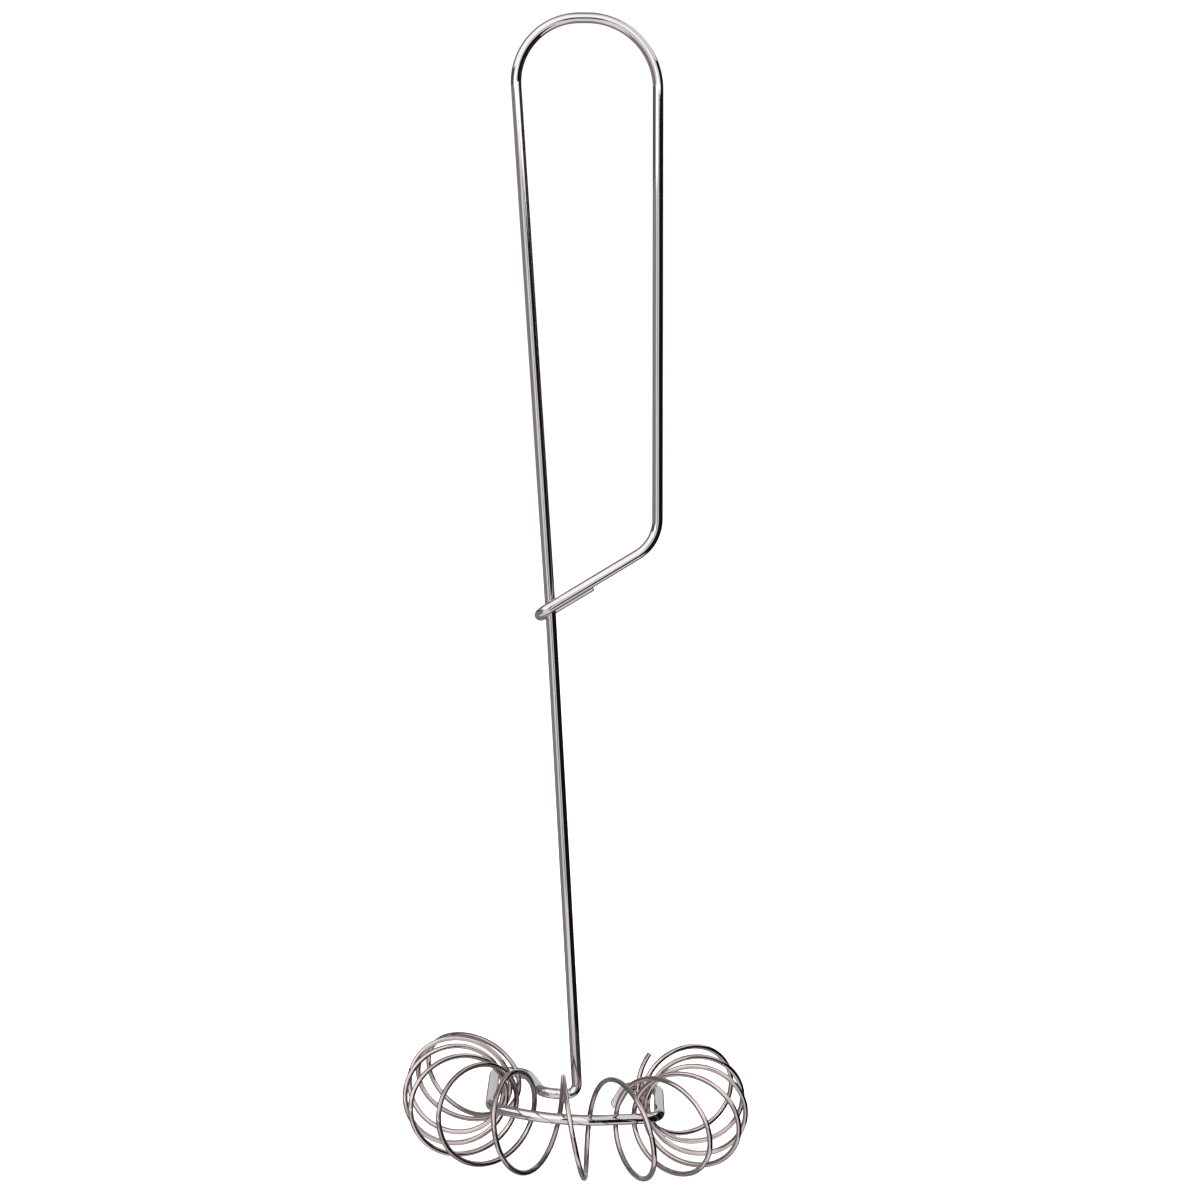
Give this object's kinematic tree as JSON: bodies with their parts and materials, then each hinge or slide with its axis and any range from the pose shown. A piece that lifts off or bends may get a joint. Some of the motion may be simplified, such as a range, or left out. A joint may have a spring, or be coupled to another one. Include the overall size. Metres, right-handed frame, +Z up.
{
  "type": "spiral whisk",
  "caption": "Coil whisk of bright steel wire: a hanging loop hooked shut round a long straight shaft, and an open ring at its foot that carries a fanned wire coil for beating liquids.",
  "frame": {"origin": "inside top of the hanging loop, where the whisk hangs on a hook or peg", "axes": "+Z up along the whisk, towards the loop; X across the loop, with +X on the side of its free leg; -Y towards the open front of the ring"},
  "size_m": [0.0795, 0.0711, 0.2635],
  "materials": {
    "frame_steel": "bright drawn stainless steel wire, lightly polished, with fine lengthwise drawing lines",
    "coil_steel": "bright drawn stainless spring wire, a little duller and warmer than the frame"
  },
  "bodies": {
    "frame": {"frame_wire": "frame_steel"},
    "coil": {"whisk_coil": "coil_steel"}
  },
  "joints": [
    {"name": "coil_slide", "type": "hinge", "parent": "frame", "child": "coil", "pos_m": [-0.00282, -0.0063, -0.24831], "axis": [0.0654, 0.0261, 0.9975], "range_deg": [-16, 8]}
  ]
}
